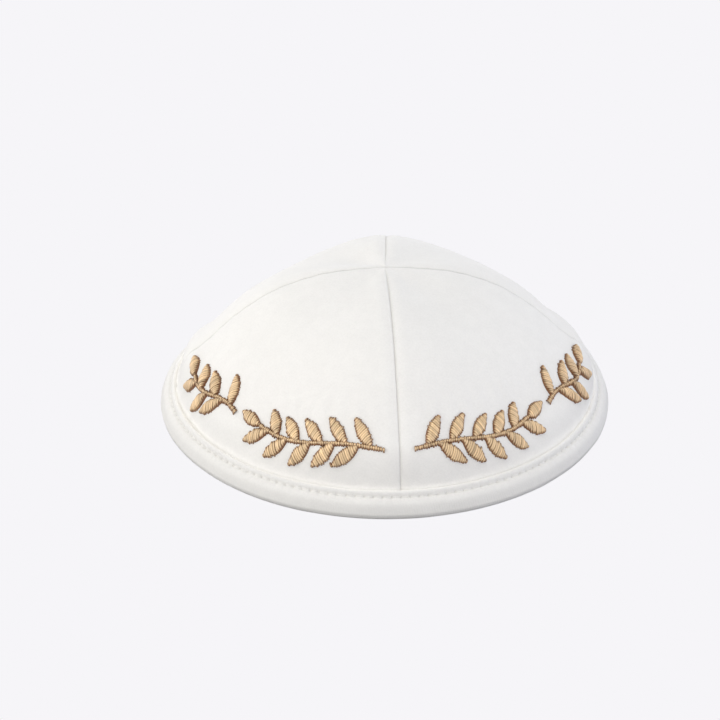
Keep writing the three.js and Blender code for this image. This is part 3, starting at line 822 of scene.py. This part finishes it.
class KIPPAH_OT_fold_binding(bpy.types.Operator):
    """Folds the cloth strip over the panels' lower edge and pulls it in along its stitching"""

    bl_idname = "kippah.fold_binding"
    bl_label = "Fold the binding"

    def execute(self, context):
        strip = BindingStrip(context.scene.kippah_sewing)
        color = context.scene.kippah_colours.binding[:]
        stitches = np.arange(strip.stitch_count)[:, None] + np.array(STITCH_COLUMNS)
        azimuth = (stitches * strip.stitch_turn).ravel()
        around = np.append(azimuth, 2 * math.pi)
        azimuth = azimuth[:, None]
        points = polar(strip.section[None, :, 0] + rim_swell(azimuth), azimuth, strip.section[None, :, 1])
        normals = polar(strip.normals[None, :, 0], azimuth, strip.normals[None, :, 1])
        fall, outer = (np.broadcast_to(a, points.shape[:2]) for a in (strip.fall, strip.outer))
        turns = np.broadcast_to(azimuth, fall.shape)
        relief = strip.relief(turns, fall, points, outer) * strip.shown
        points = points + normals * relief[..., None]
        points[..., 2] = np.maximum(points[..., 2], 0)
        lengths = np.linalg.norm(np.diff(np.concatenate([strip.section, strip.section[:1]]), axis=0), axis=1)
        down = np.concatenate([[0], np.cumsum(lengths)])
        flat = np.stack(np.broadcast_arrays(around[:, None] * RIM_RADIUS, down[None, :]), -1)
        stock = Stock()
        # Painted shade in the needle holes, and a painted highlight along the fold's crest
        shade = HOLE_PAINTED_SHADE * strip.at_hole(turns, fall) - CREST_PAINTED_HIGHLIGHT * bump(fall - CREST_FALL, CREST_WIDTH)
        stock.tube(points, flat, ring_of_rings=True, sewn_shade=shade * (strip.shown == 1))
        material = brushed_cotton_twill("brushed_cotton_twill_binding", color, BINDING_TWILL_TURN)
        stock.piece("rim_binding_strip", material, ["rim_binding"])
        return {"FINISHED"}


def turns_round(corners):
    """The direction of each corner round a circle. A strand's top is at a quarter turn."""
    return np.linspace(0, 2 * math.pi, corners, endpoint=False)


def strand_sides(path, above):
    """A strand's sideways and upright directions along its path, from one that is about upright."""
    ahead = unit(np.gradient(path, axis=0))
    side = unit(np.cross(ahead, above))
    return side, unit(np.cross(side, ahead))


def strand_rings(path, side, up, half_width, half_height, corners):
    """Rings of points round a path, wide along side and high along up."""
    turn = turns_round(corners)
    return (path[:, None] + side[:, None] * np.multiply.outer(half_width, np.cos(turn))[..., None]
            + up[:, None] * (half_height * np.sin(turn))[None, :, None])


def strand_flat(path, girth, corners):
    """The unrolled place of each corner of a strand: along it and round it."""
    along = np.concatenate([[0], np.cumsum(np.linalg.norm(np.diff(path, axis=0), axis=1))])
    return np.stack(np.broadcast_arrays(along[:, None], np.linspace(0, girth, corners + 1)[None, :]), -1)


# One topstitch: where it starts and ends as shares of its length, how full its arch is, how far it strays in
# millimetres, and in thread radii how high it stands, how deep it bites and how flat it is pulled
STITCH_START = 0.06
STITCH_END = 0.94
STITCH_ARCH = 0.5
STITCH_WANDER = 0.04
STITCH_RISE = 1.1
STITCH_BITE = 0.9
STITCH_FLATNESS = 0.85
STITCH_SEED = 3


class KIPPAH_OT_topstitch_binding(bpy.types.Operator):
    """Sews the lockstitched line along the binding, outside and inside"""

    bl_idname = "kippah.topstitch_binding"
    bl_label = "Topstitch the binding"
    # Points along each stitch and round it
    POINTS = 9
    CORNERS = 8

    def execute(self, context):
        sewing = context.scene.kippah_sewing
        strip = BindingStrip(sewing)
        stock = Stock()
        radius = sewing.stitch_thread / MM / 2
        share = np.linspace(STITCH_START, STITCH_END, self.POINTS)
        arch = np.sin(np.pi * (share - share[0]) / (share[-1] - share[0])) ** STITCH_ARCH
        rng = np.random.default_rng(STITCH_SEED)
        for stitch in range(strip.stitch_count):
            azimuth = (stitch + share) * strip.stitch_turn
            wander = rng.normal(0, STITCH_WANDER)
            for outward, depth in ((1, STITCH_DEPTH), (-1, WING_FACE)):
                base = from_lip(STITCH_DROP + wander, depth)
                points = polar(base[0] + rim_swell(azimuth), azimuth, base[1])
                up = polar(OUT[0] * outward, azimuth, OUT[1] * outward)
                relief = strip.relief(azimuth, STITCH_DROP + 0 * azimuth, points, outward > 0)
                lift = relief + radius * (STITCH_RISE * arch - STITCH_BITE)
                path = points + up * lift[:, None]
                side, top = strand_sides(path, up)
                rings = strand_rings(path, side, top, radius, radius * STITCH_FLATNESS, self.CORNERS)
                stock.tube(rings, strand_flat(path, 2 * math.pi * radius, self.CORNERS))
        material = spun_polyester_thread("spun_polyester_thread", context.scene.kippah_colours.stitching[:])
        stock.piece("rim_topstitching", material)
        return {"FINISHED"}


# How the satin stitches lie: their slants and the share of the pitch that a strand fills are shares, and the
# others are millimetres
LEAF_SLANT = 0.35
STEM_SLANT = 0.25
LEAF_CREST = 1.05
STEM_CREST = 0.8
FULL_HALF_WIDTH = 1.3
CREST_GROWTH = 0.5
STRAND_HEIGHT = 0.24
STRAND_FULLNESS = 0.52
STRAND_DIVE = 0.3
# A stitch's arch is flat on top and steep at both ends
BOW_FLATNESS = 2.3
BOW_STEEPNESS = 0.6
# How unevenly the strands are laid, how far past the stroke's edge they reach, and how they swing and rise
STRAND_SEED = 11
LAY_JITTER = 0.06
END_JITTER = 0.18
SWING_JITTER = 0.03
RISE_JITTER = 0.025
TONE_SPREAD = 0.12
# Painted shade on the strands: how far from each end it reaches and how strong it is there, and how dark each
# strand's sides and underside are painted; the taper is how much a strand thins towards its ends
END_SHADE_LENGTH = 0.85
END_SHADE = 1.35
END_TAPER = 0.38
SIDE_SHADE = 0.75
# The padding under the strands: the share of the stroke that it fills, its points, and how far it lies below
PADDING_START = 0.03
PADDING_END = 0.97
PADDING_ROWS = 25
PADDING_COLUMNS = 12
PADDING_DROP = 0.16
# Points that measure a stroke, and the steps in shares of it that find its direction
STROKE_POINTS = 101
STROKE_STEP = 0.004
STEM_STEP = 0.01


def stroke_directions(line, shares):
    """The directions along and across a stroke at shares of its length."""
    ahead = unit(line(shares + STROKE_STEP) - line(shares - STROKE_STEP))
    return ahead, np.stack([-ahead[:, 1], ahead[:, 0]], -1)


def stitch_bow(t):
    """The arch of a stitch between its ends at -1 and 1."""
    return (1 - np.abs(t) ** BOW_FLATNESS) ** BOW_STEEPNESS


def stroke_height(half, crest):
    """How high the stitches stand over a stroke's middle: lower where the stroke is narrow."""
    return crest * np.minimum(half / FULL_HALF_WIDTH, 1) ** CREST_GROWTH


class KIPPAH_OT_embroider_sprigs(bpy.types.Operator):
    """Lays the gold satin stitches of the leaf sprigs over their padding"""

    bl_idname = "kippah.embroider_sprigs"
    bl_label = "Embroider the sprigs"
    # Points along each strand and round it
    POINTS = 11
    CORNERS = 8

    def execute(self, context):
        sewing, colours = context.scene.kippah_sewing, context.scene.kippah_colours
        material = rayon_embroidery_thread("rayon_embroidery_thread", colours.gold[:], colours.gold_painted_shade[:])
        self.pitch = sewing.strand_pitch / MM
        self.rng = np.random.default_rng(STRAND_SEED)
        for side in ("right", "left"):
            cloth = PanelCloth(f"front_{side}", sewing)
            for name, sprig in SPRIGS.items():
                stock = Stock()
                self.embroider(cloth, sprig, stock)
                stock.piece(f"satin_sprig_{side}_{name}", material,
                            [f"embroidery_{side}_{name}"])
        return {"FINISHED"}

    def embroider(self, cloth, sprig, stock):
        """Embroiders one sprig: its leaves from the root up, then the stem over their feet."""
        start = sprig["start"] * cloth.field_width
        length = sprig["length"] * cloth.field_width - LEAF_LENGTH / 2

        def stem(share):
            share = np.asarray(share, float)
            return np.stack([start + length * share, STEM_CLIMB + STEM_WAVE * np.sin(2 * np.pi * share)], -1)

        count = 2 * sprig["leaf_pairs"]
        leaves = [((k + 1) / (count + 1), LEAF_ANGLE * (-1) ** k) for k in range(count)] + [(1.0, 0.0)]
        for root, turn in leaves:
            ahead = unit(stem(root + STEM_STEP) - stem(root - STEM_STEP))
            way = np.array([ahead[0] * math.cos(turn) - ahead[1] * math.sin(turn),
                            ahead[0] * math.sin(turn) + ahead[1] * math.cos(turn)])
            base, reach = stem(root), LEAF_LENGTH * (1 - LEAF_TAPER * root)
            slant = LEAF_SLANT if turn >= 0 else -LEAF_SLANT
            self.satin(cloth, stock,
                       lambda share: base + np.multiply.outer(np.asarray(share, float) * reach, way),
                       lambda share: LEAF_WIDTH / 2 * (
                           LEAF_BLUNTNESS + (1 - LEAF_BLUNTNESS) * np.sin(np.pi * share)),
                       slant, LEAF_CREST)
        self.satin(cloth, stock, stem,
                   lambda share: np.full(np.shape(share), STEM_WIDTH / 2), STEM_SLANT, STEM_CREST)

    def satin(self, cloth, stock, line, half_width, slant, crest):
        """Strands laid side by side across a stroke, over a low padding of the same thread."""
        measured = np.linspace(0, 1, STROKE_POINTS)
        along = np.concatenate([[0], np.cumsum(np.linalg.norm(np.diff(line(measured), axis=0), axis=1))])
        count = max(round(along[-1] / self.pitch), 2)
        pitch = along[-1] / count
        laid = (np.arange(count) + 0.5) * pitch + self.rng.normal(0, LAY_JITTER, count)
        shares = np.interp(laid, along, measured)
        ahead, cross = stroke_directions(line, shares)
        half = half_width(shares)[:, None]
        t = np.sin(np.linspace(-math.pi / 2, math.pi / 2, self.POINTS))
        bow = stitch_bow(t)
        ends = self.rng.normal(0, END_JITTER, (count, 2))
        reach = half * t + np.where(t < 0, ends[:, :1], ends[:, 1:]) * t * np.sign(t)
        swing = half * slant * t + self.rng.normal(0, SWING_JITTER, (count, 1))
        flat = line(shares)[:, None] + cross[:, None] * reach[..., None] + ahead[:, None] * swing[..., None]
        top = stroke_height(half, crest)
        lift = -STRAND_DIVE + (top + STRAND_DIVE) * bow + self.rng.normal(0, RISE_JITTER, (count, 1)) * bow
        paths = cloth.place(flat[..., 0], flat[..., 1], lift)
        above = cloth.place(flat[..., 0], flat[..., 1], lift + 1) - paths
        tones = 1 + self.rng.normal(0, TONE_SPREAD, count)
        # Painted shade: darker towards each strand's ends, where it dives into the cloth, and round its sides
        # and underside
        near_end = 1 - half * (1 - np.abs(t)) / END_SHADE_LENGTH
        at_ends = np.clip(END_SHADE * near_end, 0, 1)
        at_sides = SIDE_SHADE * np.clip(1 - np.sin(turns_round(self.CORNERS)), 0, 1)
        shades = 1 - (1 - at_ends[:, :, None]) * (1 - at_sides)
        widths = (1 - END_TAPER * np.clip(near_end, 0, 1)) * pitch * STRAND_FULLNESS
        for path, upright, tone, shade, width in zip(paths, above, tones, shades, widths):
            side, up = strand_sides(path, upright)
            rings = strand_rings(path, side, up, width, STRAND_HEIGHT, self.CORNERS)
            stock.tube(rings, strand_flat(path, 4 * STRAND_HEIGHT, self.CORNERS),
                       strand_end=shade, strand_tone=tone)
        self.padding(cloth, stock, line, half_width, top[:, 0].max())

    def padding(self, cloth, stock, line, half_width, crest):
        """The underlay that the strands pass over, coloured all over with the painted shade, so that it shows
        as shade between them.
        """
        shares = np.linspace(PADDING_START, PADDING_END, PADDING_ROWS)
        cross = stroke_directions(line, shares)[1]
        t = np.linspace(-1, 1, PADDING_COLUMNS)
        half = half_width(shares)[:, None]
        flat = line(shares)[:, None] + cross[:, None] * (half * t)[..., None]
        high = stroke_height(half, crest) * stitch_bow(t) - PADDING_DROP
        upper = cloth.place(flat[..., 0], flat[..., 1], high)
        lower = cloth.place(flat[..., 0], flat[..., 1], 0 * high - STRAND_DIVE)
        rings = np.concatenate([upper, lower[:, ::-1]], axis=1)
        spread = np.zeros((len(shares), rings.shape[1] + 1, 2))
        # The padding takes the painted shade colour all over
        stock.tube(rings, spread, strand_end=1.0, strand_tone=1.0)


# The photograph's view of the cap: its place and what it looks at in degrees and metres, and its lens and
# sensor in millimetres
VIEW_AZIMUTH = math.radians(-4.24)
VIEW_ELEVATION = math.radians(29.28)
VIEW_DISTANCE = 1.0
VIEW_MIDDLE = Vector((0, 0, 0.025))
VIEW_LEFT = 0.0093
VIEW_BELOW = 0.0070
VIEW_LENS = 131.95
VIEW_SENSOR = 36.0
VIEW_NEAREST = 0.01
# The lit table's middle disc and outer edge, in metres, and their corners
TABLE_MIDDLE_RADIUS = 0.125
TABLE_RADIUS = 4.0
TABLE_CORNERS = 96
# The room's light by how steeply it comes, from -1 straight below to 1 straight above, as linear red, green
# and blue
ROOM_LIGHT = (
    (-1.0, (0.02, 0.02, 0.02)),
    (-0.2, (0.06, 0.06, 0.06)),
    (0.03, (1.66, 1.66, 1.72)),
    (0.3, (0.9, 0.9, 0.93)),
    (1.0, (0.1, 0.1, 0.1)),
)
# Each softbox's place and width in metres, its watts and its tint
LIGHTS = {
    "key_softbox": {"place": (-2.25, -2.5, 3.75), "width": 3.0, "watts": 27.0, "tint": (1.0, 0.93, 0.69)},
    "left_softbox": {"place": (-4.0, 0.25, 2.0), "width": 3.0, "watts": 52.0, "tint": (0.95, 0.96, 1.0)},
    "ceiling_softbox": {"place": (0.0, 0.0, 5.0), "width": 3.0, "watts": 63.0, "tint": (0.99, 0.99, 1.0)},
    "right_softbox": {"place": (3.45, -1.85, 1.7), "width": 3.0, "watts": 19.0, "tint": (0.55, 0.65, 1.0)},
    "rear_softbox": {"place": (2.5, 3.0, 3.25), "width": 3.0, "watts": 25.0, "tint": (0.68, 0.8, 1.0)},
}


class KIPPAH_OT_set_stage(bpy.types.Operator):
    """Sets the lit table, the soft studio lights and the camera"""

    bl_idname = "kippah.set_stage"
    bl_label = "Set the stage"

    def execute(self, context):
        scene = context.scene
        self.lay_table(scene)
        self.hang_lights(scene)
        self.stand_camera(scene)
        return {"FINISHED"}

    def lay_table(self, scene):
        """Lays the lit sheet as a disc under the cap and a wide ring round it."""
        material = lit_opal_acrylic("lit_opal_acrylic", scene.kippah_colours.table[:])
        turn, count = turns_round(TABLE_CORNERS), TABLE_CORNERS
        inner, outer = (polar(radius, turn, 0.0).tolist() for radius in (TABLE_MIDDLE_RADIUS, TABLE_RADIUS))
        disc = [list(range(count))]
        ring = [[k, (k + 1) % count, count + (k + 1) % count, count + k] for k in range(count)]
        parts = {"table_middle": (inner, disc), "table_surround": (outer + inner, ring)}
        for name, (points, faces) in parts.items():
            mesh = bpy.data.meshes.new(name)
            mesh.from_pydata(points, [], faces)
            mesh.materials.append(material)
            made = bpy.data.objects.new(name, mesh)
            scene.collection.objects.link(made)
        # The cap covers and shades the table's middle, so only the surround throws light onto the cloth
        bpy.data.objects["table_middle"].visible_diffuse = False

    def hang_lights(self, scene):
        """Lights the cap with a pale room, brightest near the horizon, and with soft studio lamps."""
        world = bpy.data.worlds.new("studio_room")
        world.use_nodes = True
        tree = world.node_tree
        tree.nodes.clear()
        way = add_node(tree, "ShaderNodeTexCoord").outputs["Generated"]
        parts = add_node(tree, "ShaderNodeSeparateXYZ", {}, {0: way})
        height = add_node(tree, "ShaderNodeMapRange", {}, {"Value": parts.outputs["Z"], "From Min": -1.0})
        ramp = add_node(tree, "ShaderNodeValToRGB", {}, {"Fac": height.outputs["Result"]})
        for place in ROOM_LIGHT[1:-1]:
            ramp.color_ramp.elements.new((place[0] + 1) / 2)
        for stop, (_, light) in zip(ramp.color_ramp.elements, ROOM_LIGHT):
            stop.color = (*light, 1.0)
        background = add_node(tree, "ShaderNodeBackground", {}, {"Color": ramp.outputs["Color"]})
        add_node(tree, "ShaderNodeOutputWorld", {}, {"Surface": background.outputs["Background"]})
        scene.world = world
        for name, box in LIGHTS.items():
            data = bpy.data.lights.new(name, "AREA")
            data.shape, data.size, data.energy, data.color = "DISK", box["width"], box["watts"], box["tint"]
            light = bpy.data.objects.new(name, data)
            light.location = box["place"]
            light.rotation_euler = (VIEW_MIDDLE - light.location).to_track_quat("-Z", "Y").to_euler()
            scene.collection.objects.link(light)

    def stand_camera(self, scene):
        """Stands the camera where the photograph was taken from, a little aside of the cap's middle."""
        back = Vector((math.sin(VIEW_AZIMUTH) * math.cos(VIEW_ELEVATION),
                       -math.cos(VIEW_AZIMUTH) * math.cos(VIEW_ELEVATION), math.sin(VIEW_ELEVATION)))
        right = Vector((math.cos(VIEW_AZIMUTH), math.sin(VIEW_AZIMUTH), 0))
        up = back.cross(right)
        place = VIEW_MIDDLE + back * VIEW_DISTANCE
        target = VIEW_MIDDLE - right * VIEW_LEFT - up * VIEW_BELOW
        data = bpy.data.cameras.new("photograph_view")
        data.lens, data.sensor_width, data.clip_start = VIEW_LENS, VIEW_SENSOR, VIEW_NEAREST
        camera = bpy.data.objects.new("photograph_view", data)
        camera.location = place
        camera.rotation_euler = (target - place).to_track_quat("-Z", "Y").to_euler()
        scene.collection.objects.link(camera)
        scene.camera = camera
        scene.view_settings.view_transform = "Standard"


OPERATORS = (KIPPAH_OT_sew_panels, KIPPAH_OT_fold_binding, KIPPAH_OT_topstitch_binding,
             KIPPAH_OT_embroider_sprigs, KIPPAH_OT_set_stage)


class KIPPAH_PT_workshop(bpy.types.Panel):
    """The steps that make the cap, with their sizes and colours"""

    bl_label = "Kippah"
    bl_idname = "KIPPAH_PT_workshop"
    bl_space_type = "VIEW_3D"
    bl_region_type = "UI"
    bl_category = "Kippah"

    def draw(self, context):
        layout = self.layout
        for group in (context.scene.kippah_sewing, context.scene.kippah_colours):
            box = layout.box()
            for name in group.__annotations__:
                box.prop(group, name)
        for operator in OPERATORS:
            layout.operator(operator.bl_idname)


CLASSES = (KippahSewing, KippahColours, *OPERATORS, KIPPAH_PT_workshop)


def register():
    """Registers the classes and hangs their settings on the scene."""
    for made in CLASSES:
        bpy.utils.register_class(made)
    bpy.types.Scene.kippah_sewing = PointerProperty(type=KippahSewing)
    bpy.types.Scene.kippah_colours = PointerProperty(type=KippahColours)


def unregister():
    """Takes the settings and classes away again."""
    del bpy.types.Scene.kippah_colours
    del bpy.types.Scene.kippah_sewing
    for made in reversed(CLASSES):
        bpy.utils.unregister_class(made)


def main():
    """Makes the cap and its stage."""
    register()
    bpy.ops.kippah.sew_panels()
    bpy.ops.kippah.fold_binding()
    bpy.ops.kippah.topstitch_binding()
    bpy.ops.kippah.embroider_sprigs()
    bpy.ops.kippah.set_stage()


if __name__ == "__main__":
    main()
